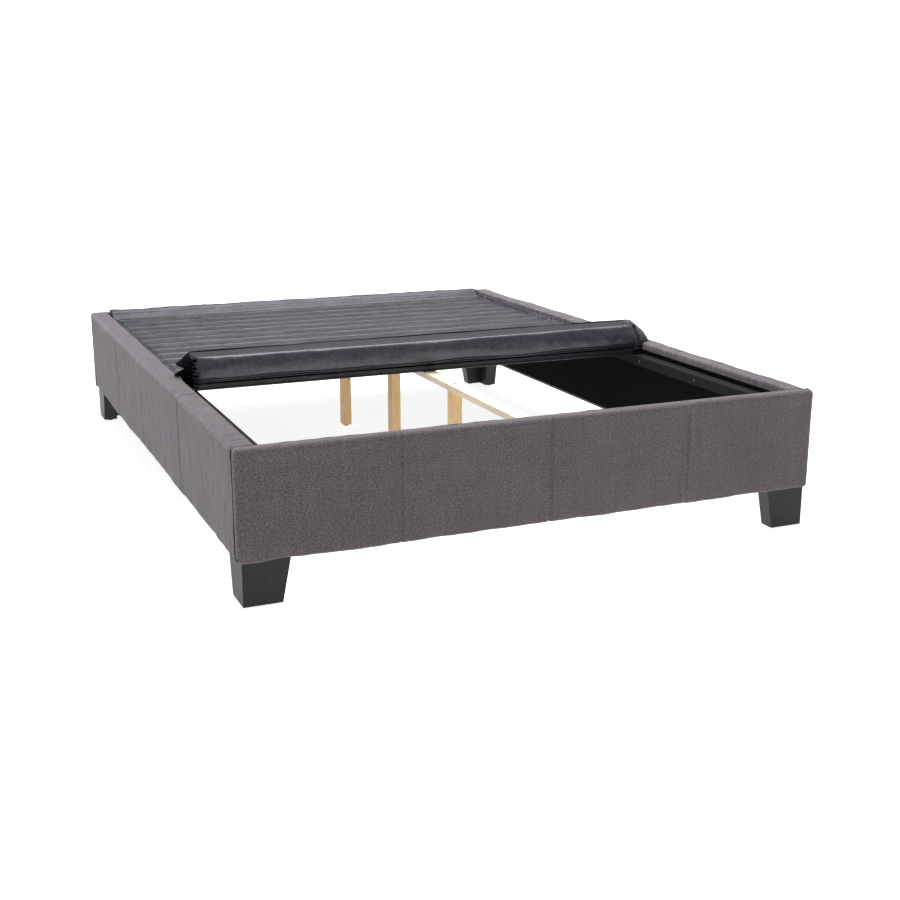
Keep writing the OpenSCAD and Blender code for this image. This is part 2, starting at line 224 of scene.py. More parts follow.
# ---------------------------------------------------------------- materials
class Mat:
    """A principled material with short calls for its nodes."""

    def __init__(self, name, rough=0.5, metal=0.0, spec=0.5):
        self.m = bpy.data.materials.new(name)
        self.m.use_nodes = True
        self.t = self.m.node_tree
        self.b = self.t.nodes["Principled BSDF"]
        self.b.inputs["Roughness"].default_value = rough
        self.b.inputs["Metallic"].default_value = metal
        self.b.inputs["Specular IOR Level"].default_value = spec

    def node(self, kind, **values):
        n = self.t.nodes.new("ShaderNode" + kind)
        for k, v in values.items():
            if hasattr(n, k):
                setattr(n, k, v)
            else:
                n.inputs[k.replace("_", " ")].default_value = v
        return n

    def link(self, a, b):
        self.t.links.new(a, b)

    def coords(self, scale=(1, 1, 1), kind="Object"):
        m = self.node("Mapping")
        m.inputs["Scale"].default_value = scale
        if kind == "UV":
            u = self.node("UVMap")
            u.uv_map = "weave"
            self.link(u.outputs["UV"], m.inputs["Vector"])
        else:
            self.link(self.node("TexCoord").outputs["Object"], m.inputs["Vector"])
        return m.outputs["Vector"]

    def noise(self, vector, scale, detail=3.0, rough=0.55, distort=0.0):
        n = self.node("TexNoise", Scale=scale, Detail=detail, Roughness=rough, Distortion=distort)
        self.link(vector, n.inputs["Vector"])
        return n.outputs["Fac"]

    def ramp(self, fac, stops):
        r = self.node("ValToRGB")
        e = r.color_ramp.elements
        while len(e) > 1:
            e.remove(e[-1])
        e[0].position, e[0].color = stops[0][0], (*stops[0][1], 1)
        for p, c in stops[1:]:
            e.new(p).color = (*c, 1)
        self.link(fac, r.inputs["Fac"])
        return r.outputs["Color"]

    def mix(self, fac, a, b, mode="MIX"):
        n = self.node("Mix")
        n.data_type, n.blend_type = "RGBA", mode
        for s, v in ((n.inputs[0], fac), (n.inputs[6], a), (n.inputs[7], b)):
            if hasattr(v, "is_output"):
                self.link(v, s)
            elif isinstance(v, (int, float)):
                s.default_value = v
            else:
                s.default_value = (*v, 1)
        return n.outputs[2]

    def math(self, op, a, b=0.0, c=0.0):
        n = self.node("Math")
        n.operation = op
        for s, v in zip(n.inputs, (a, b, c)):
            if hasattr(v, "is_output"):
                self.link(v, s)
            else:
                s.default_value = v
        return n.outputs[0]

    def span(self, fac, low, high):
        n = self.node("MapRange")
        n.inputs["To Min"].default_value = low
        n.inputs["To Max"].default_value = high
        self.link(fac, n.inputs["Value"])
        return n.outputs["Result"]

    def bump(self, height, distance, strength=1.0, below=None):
        n = self.node("Bump", Strength=strength, Distance=distance)
        self.link(height, n.inputs["Height"])
        if below is not None:
            self.link(below, n.inputs["Normal"])
        return n.outputs["Normal"]

    def done(self, colour=None, rough=None, normal=None):
        if colour is not None:
            self.link(colour, self.b.inputs["Base Color"])
        if rough is not None:
            self.link(rough, self.b.inputs["Roughness"])
        if normal is not None:
            self.link(normal, self.b.inputs["Normal"])
        return self.m


def fabric(name="grey_weave", brush=0.15):
    """Heathered grey upholstery cloth, woven of mixed dark, grey and reddish yarns."""
    m = Mat(name, rough=0.92, spec=0.25)
    uv = m.coords(kind="UV")
    pitch = 0.0016
    sep = m.node("SeparateXYZ")
    m.link(uv, sep.inputs[0])
    turn = 2 * math.pi / pitch
    wave_u = m.math("SINE", m.math("MULTIPLY", sep.outputs[0], turn))
    wave_v = m.math("SINE", m.math("MULTIPLY", sep.outputs[1], turn))
    weave = m.math("MULTIPLY", wave_u, wave_v)
    warp = m.noise(m.coords((1, 9, 1), "UV"), 120, 3)
    weft = m.noise(m.coords((9, 1, 1), "UV"), 120, 3)
    yarn = m.math("ADD", m.math("MULTIPLY", warp, 0.5), m.math("MULTIPLY", weft, 0.5))
    fleck = m.noise(uv, 520, 2, 0.7)
    slub = m.noise(m.coords((1, 1.4, 1), "UV"), 215, 2, 0.6)
    tone = m.math("ADD", m.math("MULTIPLY", yarn, 0.4), m.math("MULTIPLY", fleck, 0.2))
    tone = m.math("ADD", tone, m.math("MULTIPLY", slub, 0.4))
    base = m.ramp(tone, [(0.38, (0.040, 0.036, 0.040)), (0.47, (0.100, 0.087, 0.096)),
                         (0.54, (0.150, 0.134, 0.146)), (0.65, (0.27, 0.252, 0.27))])
    tint = m.noise(m.coords((1.4, 3, 1), "UV"), 210, 2)
    red = 1.16 - 0.12 * brush
    redder = m.ramp(tint, [(0.45, (1.0, 1.0, 1.0)), (0.66, (red, 0.92 + 0.06 * brush, 0.98))])
    colour = m.mix(0.75, base, redder, "MULTIPLY")
    patch = m.ramp(m.noise(uv, 4.0, 4), [(0.35, (0.93, 0.93, 0.94)), (0.65, (1.06, 1.05, 1.05))])
    colour = m.mix(1.0, colour, patch, "MULTIPLY")
    brushed = m.noise(m.coords((9, 1.2, 1), "UV"), 7, 5, 0.65)
    brushed = m.ramp(brushed, [(0.41, (0.72, 0.71, 0.71)), (0.50, (1.0, 1.0, 1.0)),
                               (0.59, (1.30, 1.32, 1.33))])
    colour = m.mix(brush, colour, brushed, "MULTIPLY")
    fuzz = m.noise(uv, 900, 2)
    n1 = m.bump(m.math("ADD", weave, m.math("MULTIPLY", fuzz, 0.8)), 0.00035, 0.6)
    n2 = m.bump(m.noise(uv, 28, 4), 0.0012, 0.35, n1)
    m.b.inputs["Sheen Weight"].default_value = 0.40
    m.b.inputs["Sheen Roughness"].default_value = 0.45
    m.b.inputs["Sheen Tint"].default_value = (0.86, 0.86, 0.90, 1)
    return m.done(colour, m.span(tone, 0.85, 0.98), n2)


def vinyl(name="black_vinyl", rough=(0.22, 0.46), level=0.5, wrinkle=1.0, tone=1.0, painted_rib_light=False):
    """Black artificial leather over foam: fine pebble grain and soft creases; the rib option paints shade and
    highlight across each rib into the colour.
    """
    m = Mat(name, spec=level)
    o = m.coords()
    cell = m.node("TexVoronoi", Scale=620.0)
    m.link(o, cell.inputs["Vector"])
    grain = cell.outputs["Distance"]
    crease = m.noise(m.coords((1, 1.6, 1.6)), 16, 5, 0.6, 0.6)
    fine = m.noise(o, 90, 4)
    colour = m.ramp(fine, [(0.3, tuple(tone * c for c in (0.013, 0.0135, 0.019))),
                            (0.7, tuple(tone * c for c in (0.024, 0.025, 0.034)))])
    worn = m.noise(o, 7, 4)
    if painted_rib_light:
        sep = m.node("SeparateXYZ")
        m.link(m.node("TexCoord").outputs["Object"], sep.inputs[0])
        share = m.math("FRACT", m.math("DIVIDE", m.math("SUBTRACT", sep.outputs[1], FOLD_Y), PITCH))
        share = m.math("ADD", share, m.math("MULTIPLY", m.math("SUBTRACT", crease, 0.5), 0.012))
        # painted shade and highlight: each rib painted dark at its near slope and valley, brighter towards
        # its far slope
        painted_rib_shade_and_highlight = m.ramp(share, [(0.0, (0.25, 0.25, 0.25)), (0.07, (0.35, 0.35, 0.35)), (0.16, (1, 1, 1)),
                               (0.895, (1.3, 1.3, 1.3)), (0.925, (0.25, 0.25, 0.25))])
        # painted highlight: a thin light line before each far valley, a reflection painted into the colour
        painted_rib_highlight = m.ramp(share, [(0.800, (0, 0, 0)), (0.845, (1, 1, 1)), (0.895, (1, 1, 1)), (0.915, (0, 0, 0))])
        # the painted rib light is laid only over the slats
        painted_rib_area = m.math("LESS_THAN", m.math("ABSOLUTE", sep.outputs[0]), SLAT_X + 0.004)
        blotch = m.ramp(m.noise(m.coords((1, 2.2, 1)), 13, 4, 0.6),
                        [(0.36, (0.6, 0.65, 0.8)), (0.50, (1.1, 1.1, 1.25)), (0.64, (2.0, 1.95, 2.1))])
        colour = m.mix(1.0, colour, blotch, "MULTIPLY")
        colour = m.mix(painted_rib_area, colour, m.mix(1.0, colour, painted_rib_shade_and_highlight, "MULTIPLY"))
        # colour of the painted highlight lines
        colour = m.mix(m.math("MULTIPLY", painted_rib_highlight, painted_rib_area), colour, (0.13, 0.127, 0.12))
    r = m.span(m.math("ADD", m.math("MULTIPLY", worn, 0.7), m.math("MULTIPLY", fine, 0.3)), *rough)
    n1 = m.bump(crease, 0.006 * wrinkle, 0.45)
    n2 = m.bump(fine, 0.0012, 0.3, n1)
    n3 = m.bump(grain, 0.0003, 0.35, n2)
    return m.done(colour, r, n3)


def wood(name, stretch, light, dark, rough=(0.5, 0.65), bump=0.0004):
    """Sawn softwood; stretch is small along the grain."""
    m = Mat(name, spec=0.35)
    long = m.coords(stretch)
    rings = m.noise(long, 26, 5, 0.6, 1.2)
    fibre = m.noise(long, 190, 3, 0.7)
    mixed = m.math("ADD", m.math("MULTIPLY", rings, 0.7), m.math("MULTIPLY", fibre, 0.3))
    colour = m.ramp(mixed, [(0.32, dark), (0.5, light), (0.68, tuple(min(1, c * 1.06) for c in light))])
    return m.done(colour, m.span(fibre, *rough), m.bump(mixed, bump, 0.5))


def stained():
    """Black stained leg: satin lacquer with a trace of the grain."""
    m = Mat("black_stain", spec=0.38)
    long = m.coords((6, 6, 1.0))
    grain = m.noise(long, 30, 5, 0.6, 0.8)
    speck = m.noise(m.coords(), 240, 3)
    colour = m.ramp(grain, [(0.35, (0.005, 0.005, 0.006)), (0.65, (0.011, 0.011, 0.014))])
    return m.done(colour, m.span(speck, 0.40, 0.55), m.bump(grain, 0.0003, 0.4))


def lining(name="black_lining", tone=1.0):
    """Black spun lining cloth with its small pressed points."""
    m = Mat(name, rough=0.9, spec=0.08)
    o = m.coords()
    v = m.node("TexVoronoi", Scale=420.0)
    v.inputs["Randomness"].default_value = 0.25
    m.link(o, v.inputs["Vector"])
    fibre = m.noise(o, 260, 4, 0.7)
    colour = m.ramp(fibre, [(0.3, tuple(tone * c for c in (0.002, 0.002, 0.0022))),
                            (0.75, tuple(tone * c for c in (0.005, 0.005, 0.0055)))])
    n = m.bump(v.outputs["Distance"], 0.0004, 0.6)
    return m.done(colour, m.span(fibre, 0.8, 0.96), m.bump(fibre, 0.0003, 0.4, n))


def plain_part(name, dark, light, rough, metal=0.0, scale=180.0):
    """Moulded or plated small parts: mottled a little, with fine bump."""
    m = Mat(name, metal=metal, spec=0.5)
    o = m.coords()
    f = m.noise(o, scale, 4)
    big = m.noise(o, scale / 12, 3)
    colour = m.ramp(m.math("ADD", m.math("MULTIPLY", f, 0.5), m.math("MULTIPLY", big, 0.5)),
                    [(0.35, dark), (0.65, light)])
    return m.done(colour, m.span(big, *rough), m.bump(f, 0.0002, 0.4))


M_FABRIC = fabric()
M_FABRIC_SIDE = fabric("grey_weave_side", 0.8)
M_VINYL = vinyl()
# mat vinyl with painted rib shade and painted highlight lines
M_MAT_PAINTED_RIBS = vinyl("mat_vinyl_painted_rib_light", rough=(0.22, 0.54), level=0.36, painted_rib_light=True)
# darker copy of the vinyl for the top sleeve: painted shade that tones down its lit top
M_TOP_PAINTED_SHADE = vinyl("stack_top_vinyl_painted_shade", rough=(0.40, 0.60), level=0.16, tone=0.8)
M_RIDGE = vinyl("ridge_vinyl", rough=(0.6, 0.75), level=0.1, wrinkle=0.4, tone=0.25)
# lighter copy of the black vinyl for the foot flap: painted sheen
M_FLAP_PAINTED_SHEEN = vinyl("flap_vinyl_painted_sheen", rough=(0.30, 0.50), wrinkle=1.3, tone=2.7)
# darkened copy of the vinyl: painted shade for self-shadowed crumpled folds
M_FOLD_PAINTED_SHADE = vinyl("fold_vinyl_painted_shade", rough=(0.75, 0.95), level=0.02, wrinkle=1.5, tone=0.25)
M_PIPING = vinyl("piping_vinyl", rough=(0.25, 0.35), level=0.6, wrinkle=0.3)
M_PINE_Y = wood("pine_along", (5, 0.5, 5), (0.90, 0.78, 0.60), (0.77, 0.60, 0.40))
M_PINE_Z = wood("pine_upright", (5, 5, 0.5), (0.86, 0.59, 0.30), (0.68, 0.43, 0.19))
M_SLAT = wood("slat_pine", (0.5, 5, 5), (0.78, 0.64, 0.45), (0.62, 0.48, 0.31))
M_BOARD = wood("board_ply", (3, 3, 3), (0.60, 0.48, 0.33), (0.48, 0.37, 0.24), rough=(0.7, 0.85))
M_LEG = stained()
M_LEDGE = lining("ledge_lining", 5.0)
M_LINING = lining()
M_STEEL = plain_part("blackened_steel", (0.10, 0.10, 0.11), (0.16, 0.16, 0.17), (0.35, 0.5), metal=1.0)
M_GLIDE = plain_part("black_glide", (0.015, 0.015, 0.016), (0.03, 0.03, 0.032), (0.4, 0.55))
M_THREAD = plain_part("grey_thread", (0.09, 0.08, 0.09), (0.14, 0.13, 0.14), (0.7, 0.9), scale=900.0)

FINISH = [
    ("upholstery", M_FABRIC), ("lining", M_LINING), ("ledge", M_LEDGE), ("_board", M_BOARD),
    ("corner_brackets", M_STEEL), ("frame_bolts", M_STEEL), ("frame_screws", M_GLIDE),
    ("centre_glides", M_GLIDE), ("corner_glides", M_GLIDE), ("beam_brackets", M_STEEL),
    ("centre_leg", M_PINE_Z), ("centre_beam", M_PINE_Y), ("leg_", M_LEG), ("slat", M_SLAT),
    ("sleeve", M_VINYL), ("mat_cover", M_VINYL), ("foot_flap", M_FLAP_PAINTED_SHEEN),
]
for name, ob in NODES.items():
    mat = next(m for key, m in FINISH if key in name)
    ob.data.materials.clear()
    ob.data.materials.append(mat)
    if name.startswith(("leg_", "centre_leg", "centre_beam", "corner_brackets", "left_ledge", "right_ledge",
                        "fixed_slat", "fold_slat")):
        bevel = ob.modifiers.new("eased", "BEVEL")
        bevel.width = 0.0016 if name.startswith("leg_") else 0.0026 if "slat" in name else 0.0009
        bevel.segments = 3
        bevel.limit_method = "ANGLE"
        bevel.angle_limit = math.radians(40)
        bevel.harden_normals = False

# ---------------------------------------------------------------- upholstered rails
R_TOP, R_EDGE, R_TAPE = 0.018, 0.008, 0.0011    # edge radii of a cover, radius of its edge binding
STITCH = (0, 0.0012, 0.0030, 0.0042)             # places along one stitch
STITCH_STEP, STITCH_OUT = 0.0066, 0.0055         # from stitch to stitch, and from the seam to its rows
STITCH_LIFT, THREAD_R = 0.0006, 0.00055
UNEVEN = Waves(3, 0.32)
DIMPLE = Waves(4, 0.055)


def rail_cover(name, width, lip, top_r, half, end_r, place, seams, seed, tuck, tape_at):
    """A padded fabric cover round a board, with its stitching and edge binding.

    place turns (outward, along, up) into the frame.
    """
    loop, nor, s = corner_loop(
        [(0.004, 0), (width, 0), (width, RAIL_H), (0, RAIL_H), (0, RAIL_H - lip), (0.004, RAIL_H - lip)],
        [0.003, R_EDGE, top_r, R_EDGE * 0.7, 0.0015, 0.0005], arc=9)
    t = list(np.arange(-half + end_r, half - end_r + 1e-9, (2 * half - 2 * end_r) / round(2 * half / 0.009)))
    for q in np.linspace(0, 1, 8):
        g = end_r * (1 - math.cos(q * math.pi / 2))
        t += [-half + g, half - g]
    for c in seams:
        t += list(c + np.linspace(-0.012, 0.012, 25))
    t = np.unique(np.round(t, 5))
    n, m = len(t), len(loop)
    depth = np.clip(np.minimum(t + half, half - t), 0, end_r)
    inset = end_r - np.sqrt(np.maximum(end_r ** 2 - (end_r - depth) ** 2, 0))
    a = loop[None, :, 0] - nor[None, :, 0] * inset[:, None]
    b = loop[None, :, 1] - nor[None, :, 1] * inset[:, None]
    a = np.maximum(a, np.where(loop[None, :, 0] < 0.0045, loop[None, :, 0], 0.0045))
    T = np.repeat(t[:, None], m, 1)
    co = np.stack([a, T, b], -1)
    p = co + seed * 3.1
    outer = smooth01((loop[:, 0] - 0.006) / 0.006)[None, :]
    up = smooth01((loop[:, 1] - RAIL_H * 0.55) / (RAIL_H * 0.45))[None, :]
    d = 0.0010 * UNEVEN(p) + 0.00035 * DIMPLE(p)
    d = d + 0.0016 * gauss(loop[None, :, 1] - RAIL_H + 0.012, 0.016)
    d = d - 0.0012 * gauss(loop[None, :, 1] - 0.006, 0.012)
    tug = 0.5 * (1 + np.sin(b * 2 * math.pi / 0.024 + 3 * UNEVEN(p * 2)))
    over = 1 - 0.6 * smooth01((loop[None, :, 1] - RAIL_H + top_r) / top_r)
    for c in seams:
        e = T - c
        rows = gauss(e - STITCH_OUT, 0.0013) + gauss(e + STITCH_OUT, 0.0013)
        d = d - 0.0022 * tuck * over * gauss(e, 0.0022) - 0.0009 * tuck * over * rows
        d = d + 0.0008 * gauss(np.abs(e) - 0.0095, 0.004) - 0.0006 * tuck * tug * gauss(e, 0.022)
    pull = np.minimum(T + half, half - T)
    pleat = np.sin(T * 2 * math.pi / 0.017 + 2.2 * UNEVEN(p * 3))
    d = d + 0.0007 * pleat * np.exp(-pull / 0.035) * up
    d = d * np.minimum(1, (depth[:, None] + 0.001) / max(end_r, 1e-6) + 0.3) * outer
    co[..., 0] += nor[None, :, 0] * d
    co[..., 2] += nor[None, :, 1] * d
    sag = np.exp(-pull / 0.05) * smooth01((0.03 - loop[None, :, 1]) / 0.03) * outer
    co[..., 2] -= 0.0012 * sag + 0.00015 * (1 + DIMPLE(p)) * smooth01((0.012 - loop[None, :, 1]) / 0.012)
    uv = np.stack([T + seed, np.repeat(s[None, :], n, 0)], -1).reshape(-1, 2)
    cloth = M_FABRIC_SIDE if name.startswith(("left", "right")) else M_FABRIC
    ob = new_mesh(name, place(co).reshape(-1, 3), tube_faces(n, m), cloth, uv=uv)
    stitches = []
    for c in seams:
        for side in (-STITCH_OUT, STITCH_OUT):
            for z in np.arange(0.012, RAIL_H - top_r, STITCH_STEP):
                q = np.array([[width - 0.0003, c + side, z + k] for k in STITCH])
                q[1:3, 0] += STITCH_LIFT
                stitches.append(cord_mesh(place(q), THREAD_R, 5))
            for x in np.arange(0.010, width - top_r, STITCH_STEP):
                q = np.array([[x + k, c + side, RAIL_H + 0.0004] for k in STITCH])
                q[1:3, 2] += STITCH_LIFT
                stitches.append(cord_mesh(place(q), THREAD_R, 5))
    if stitches:
        thread = joined(name.replace("cover", "stitching"), stitches, M_THREAD)
    y = np.linspace(-half + 0.004, half - 0.004, 180)
    inward = 0.0012 if tape_at > 0.01 else 0.0017
    q = np.stack([np.full(180, inward), y, np.full(180, RAIL_H - tape_at)], -1)
    q[:, 2] += 0.0006 * DIMPLE(q + seed)
    tape = new_mesh(name.replace("cover", "edge_binding"), *cord_mesh(place(q), R_TAPE, 10), M_LINING)
    return ob


def side_place(sign):
    return lambda c: np.stack([sign * (IN_X + c[..., 0]), c[..., 1], LEG_H + c[..., 2]], -1)


def end_place(sign):
    return lambda c: np.stack([c[..., 1], sign * (IN_Y + c[..., 0]), LEG_H + c[..., 2]], -1)


LEN = 2 * HALF_L
side_seams = [-HALF_L + LEN * f for f in (0.29, 0.54, 0.745)]
end_seams = [-HALF_W / 2, 0.0, HALF_W / 2]
for name, sign in (("left", -1), ("right", 1)):
    cover = rail_cover(name + "_cover", HALF_W - IN_X, 0.022, R_TOP, IN_Y - 0.0002, 0.0008,
                       side_place(sign), side_seams, 1.7 + sign, 0.2, 0.0017 if sign < 0 else 0.022)
    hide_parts(name + "_upholstery")
for name, sign in (("foot", -1), ("head", 1)):
    cover = rail_cover(name + "_cover", HALF_L - IN_Y, 0.012, R_TOP * 0.7, HALF_W, 0.013,
                       end_place(sign), end_seams, 5.3 + sign, 0.9, 0.0017)
    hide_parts(name + "_upholstery")

# ---------------------------------------------------------------- the slat mat
EDGE = Waves(11, 0.30)
CREASE = Waves(12, 0.045)
SOFT = Waves(13, 0.16)
VALLEY_H = 0.0009
HEM_X = SLAT_X + 0.0045
SLEEVE_X = SLAT_X + 0.011


def pocket_half(c):
    """Half thickness of a pocket at share c of its pitch."""
    d = np.minimum(c, 1 - c) * PITCH
    g = np.clip(d / 0.009, 0, 1)
    return VALLEY_H + (MAT_T / 2 - VALLEY_H) * (1 - (1 - g) ** 2.4)


def end_shape(x, over):
    """1 along the slats, falling to a thin hem past their ends, within over."""
    return 1 - 0.76 * smooth01((np.abs(x) - HEM_X) / over)


def wavy_edge(y, side):
    """Inward wander of the mat's long edge."""
    p = np.stack([np.full_like(y, side * 7.0), y, np.zeros_like(y)], -1)
    return 0.0030 * (EDGE(p) * 0.5 - 0.7)


def hem_rise(y, side):
    """How far the soft hem curls up against the rail."""
    p = np.stack([np.full_like(y, side * 3.0), y, np.ones_like(y)], -1)
    full = 0.021 if side > 0 else 0.010
    free = smooth01((y - FOLD_Y - PITCH) / 0.06)
    return full * free * np.clip(0.72 + 0.16 * EDGE(p) + 0.05 * CREASE(p), 0.1, 1.1)


def across_mat(limit, n_end=9):
    ends = np.linspace(HEM_X - 0.002, limit, n_end)
    return np.unique(np.concatenate([np.linspace(-HEM_X + 0.008, HEM_X - 0.008, 120), ends, -ends]))


# flat part
c = np.concatenate([np.linspace(0, 0.12, 7), np.linspace(0.2, 0.8, 7), np.linspace(0.88, 1, 7)])[:-1]
ys = np.concatenate([FOLD_Y + (i + c) * PITCH for i in range(FIXED_N)] + [[MAT_HEAD]])
share = np.concatenate([np.tile(c, FIXED_N), [1.0]])
xs = across_mat(MAT_X, 12)
n, m = len(xs), len(ys)
X, Y = np.meshgrid(xs, ys, indexing="ij")
half = pocket_half(share)[None, :] * end_shape(X, 0.012)
past = smooth01((np.abs(X) - HEM_X) / (MAT_X - HEM_X))
shift = np.where(X > 0, wavy_edge(Y, 1), -wavy_edge(Y, -1)) * past
rise = np.where(X > 0, hem_rise(Y, 1), hem_rise(Y, -1)) * past
P = np.stack([X, Y, np.zeros_like(X)], -1)
near = np.minimum(share, 1 - share)[None, :] * PITCH
free = smooth01((Y - FOLD_Y - PITCH) / 0.02)
body = smooth01(near / 0.012)
crown = (0.0024 * np.sin(np.pi * share)[None, :] ** 0.8 + 0.0005 * (SOFT(P, (1, 0.5, 1)) + 1.2).clip(0)
         + 0.0004 * (CREASE(P, (0.6, 2.2, 1)) + 1).clip(0) * body) * free * end_shape(X, 0.02)
mid = MAT_Z + MAT_T / 2
top = np.stack([X + shift, Y, mid + half + crown + rise], -1)
low = np.stack([X + shift, Y, mid - np.minimum(half, MAT_T / 2 - 0.0001) + rise], -1)
rings = np.concatenate([top, low[:, ::-1]], 1)
mat_piece = new_mesh("slat_mat", rings.reshape(-1, 3), tube_faces(n, 2 * m), M_MAT_PAINTED_RIBS)
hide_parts("mat_cover")

# piping down both long edges of the flat part
for side, label in ((-1, "left"), (1, "right")):
    y = np.linspace(FOLD_Y + 0.004, MAT_HEAD - 0.004, 320)
    x = side * (MAT_X + wavy_edge(y, side) - 0.0012)
    z = mid + hem_rise(y, side) + 0.0006 * SOFT(np.stack([x, y, 0 * y], -1) * 2)
    piping = new_mesh("mat_piping_" + label, *cord_mesh(np.stack([x, y, z], -1), 0.0021, 9), M_PIPING)

# sleeves of the folding part
cs = np.concatenate([np.linspace(0, 0.12, 7), np.linspace(0.2, 0.8, 5), np.linspace(0.88, 1, 7)])
xs = across_mat(SLEEVE_X)
for k in range(1, FOLD_N + 1):
    z0 = MAT_Z + k * LAYER + MAT_T / 2
    yy = FOLD_Y + 0.0006 + cs * (PITCH - 0.0012)
    X, Y = np.meshgrid(xs, yy, indexing="ij")
    half = pocket_half(cs)[None, :] * end_shape(X, SLEEVE_X - HEM_X)
    P = np.stack([X, Y, np.full_like(X, z0 * 20)], -1)
    dent = np.abs(0.00022 * CREASE(P, (0.6, 2.0, 1)))
    swell = (0.0004 + 0.0006 * np.sin(np.pi * cs)[None, :] + 0.0005 * SOFT(P)).clip(0) if k == FOLD_N else 0
    top = np.stack([X, Y, z0 + half - dent + swell], -1)
    low = np.stack([X, Y, z0 - half + dent], -1)
    rings = np.concatenate([top, low[:, ::-1]], 1)
    # the top sleeve takes the darker vinyl copy (painted shade); the others the mat vinyl with its painted
    # rib shade and highlight
    ob = new_mesh(f"slat_sleeve_{k}", rings.reshape(-1, 3), tube_faces(len(xs), 2 * len(cs)),
                  M_TOP_PAINTED_SHADE if k == FOLD_N else M_MAT_PAINTED_RIBS, f"fold_panel_{k}")
    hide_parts(f"fold_sleeve_{k}")

# soft ends of the sleeves past the slats: at rest they spread over the rails; each rides its own panel
OVER_RAIL = RAIL_TOP + 0.0030
STACK_TOP = MAT_Z + FOLD_N * LAYER + MAT_T
Y0, Y1 = FOLD_Y, FOLD_Y + PITCH


def right_end(y, z):
    """How far the right ends reach: a wedge, widest low at the back."""
    s = np.clip((STACK_TOP - z) / (STACK_TOP - OVER_RAIL), 0, 1)
    front = SLAT_X + 0.008 + 0.023 * s
    tip_y = Y1 - 0.006 - 0.068 * s
    tip = 0.752 + 0.034 * s + 0.012 * np.sin(np.pi * s)
    a = front + (tip - front) * np.clip((y - Y0) / (tip_y - Y0), 0, 1) ** 0.9
    b = tip + (0.745 - tip) * smooth01((y - tip_y) / (Y1 + 0.001 - tip_y))
    return np.where(y < tip_y, a, b)


def left_end(y, z):
    """How far the left ends reach: two soft lobes, one over the other."""
    lobe = np.interp(z, [MAT_Z + LAYER, RAIL_TOP + 0.001, OVER_RAIL, RAIL_TOP + 0.019, RAIL_TOP + 0.033,
                         RAIL_TOP + 0.047, STACK_TOP], [0.736, 0.752, 0.766, 0.733, 0.762, 0.741, 0.722])
    front = SLAT_X + 0.008
    return front + (lobe - front) * smooth01((y - Y0) / 0.062)


# the left ends take the darkened vinyl copy, painted shade for their crumpled self-shadowed folds; the right
# ends the plain vinyl
for side, label, shape, mat in ((-1, "left", left_end, M_FOLD_PAINTED_SHADE), (1, "right", right_end, M_VINYL)):
    for k in range(1, FOLD_N + 1):
        z0 = MAT_Z + k * LAYER + 0.0003
        zs = np.linspace(z0, z0 + LAYER - 0.0006, 7)
        yy = np.linspace(Y0 + 0.002, Y1 - 0.002, 22)
        Y, Z = np.meshgrid(yy, zs, indexing="ij")
        X = shape(Y, Z)
        P = np.stack([X * side, Y, Z], -1)
        X = X + 0.0011 * CREASE(P, (1, 1.6, 0.7)) - 0.0007 * np.abs(np.linspace(-1, 1, 7))[None, :] ** 4
        X = np.where(Z < OVER_RAIL - 0.0005, np.minimum(X, MAT_X + 0.0055), X)
        X[[0, -1]] -= 0.0015
        inner = np.full(len(yy), SLAT_X + 0.0042)
        ring = np.stack([
            np.concatenate([inner[:, None], X, inner[:, None]], 1) * side,
            np.repeat(yy[:, None], 9, 1),
            np.concatenate([Z[:, :1], Z, Z[:, -1:]], 1)], -1)
        ob = new_mesh(f"sleeve_end_{label}_{k}", ring.reshape(-1, 3), tube_faces(len(yy), 9), mat,
                      f"fold_panel_{k}")
        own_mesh(ob)


def strip(name, path, thick, x, mat, shape=None):
    """A sheet along x whose section follows path, a list of (y, z); returns it and the path's length."""
    path = np.asarray(path, float)
    t = np.gradient(path, axis=0)
    t /= np.linalg.norm(t, axis=1)[:, None]
    nor = np.stack([t[:, 1], -t[:, 0]], -1)
    loop = np.concatenate([path + nor * thick / 2, (path - nor * thick / 2)[::-1]])
    n, m = len(x), len(loop)
    co = np.stack([np.repeat(x[:, None], m, 1), np.repeat(loop[None, :, 0], n, 0),
                   np.repeat(loop[None, :, 1], n, 0)], -1)
    if shape is not None:
        co = shape(co, np.concatenate([np.linspace(0, 1, len(path)), np.linspace(1, 0, len(path))]))
    ob = new_mesh(name, co.reshape(-1, 3), tube_faces(n, m), mat, body=None)
    return ob, np.linalg.norm(np.diff(path, axis=0), axis=1).sum()


# vinyl hinges that join the sleeves, each a flat web at its fold
wx = np.linspace(-SLAT_X - 0.006, SLAT_X + 0.006, 150)
for k in range(1, FOLD_N + 1):
    axis_z = MAT_Z + k * LAYER - 0.0003
    front = k % 2 == 1
    side = -1 if front else 1
    edge = FOLD_Y + 0.0010 if front else FOLD_Y + PITCH - 0.0010
    g = np.linspace(-1, 1, 15)
    yy = edge - side * 0.0004 * (1 - g ** 2)
    zz = axis_z + g * (LAYER - 0.0022)

    def wavy(co, w, k=k, side=side):
        q = co.copy()
        fold = np.abs(CREASE(co * [1, 0, 0] + k, (0.7, 1, 1))) * np.sin(np.pi * w)[None, :]
        q[..., 1] -= side * 0.0002 * fold
        return q

    ob, long = strip(f"fold_hinge_{k}", np.stack([yy, zz], -1), 0.0008, wx, M_VINYL, wavy)
    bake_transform(ob)

# welted edge along the top of the stack
rx = np.linspace(-SLAT_X - 0.004, 0.744, 200)
path = np.stack([rx, np.full(200, Y1 - 0.0042), STACK_TOP + 0.0002
                 + 0.0005 * SOFT(np.stack([rx, 0 * rx, 0 * rx + 9], -1))], -1)
welt = new_mesh("stack_welt", *cord_mesh(path, 0.0026, 10), M_RIDGE, f"fold_panel_{FOLD_N}")

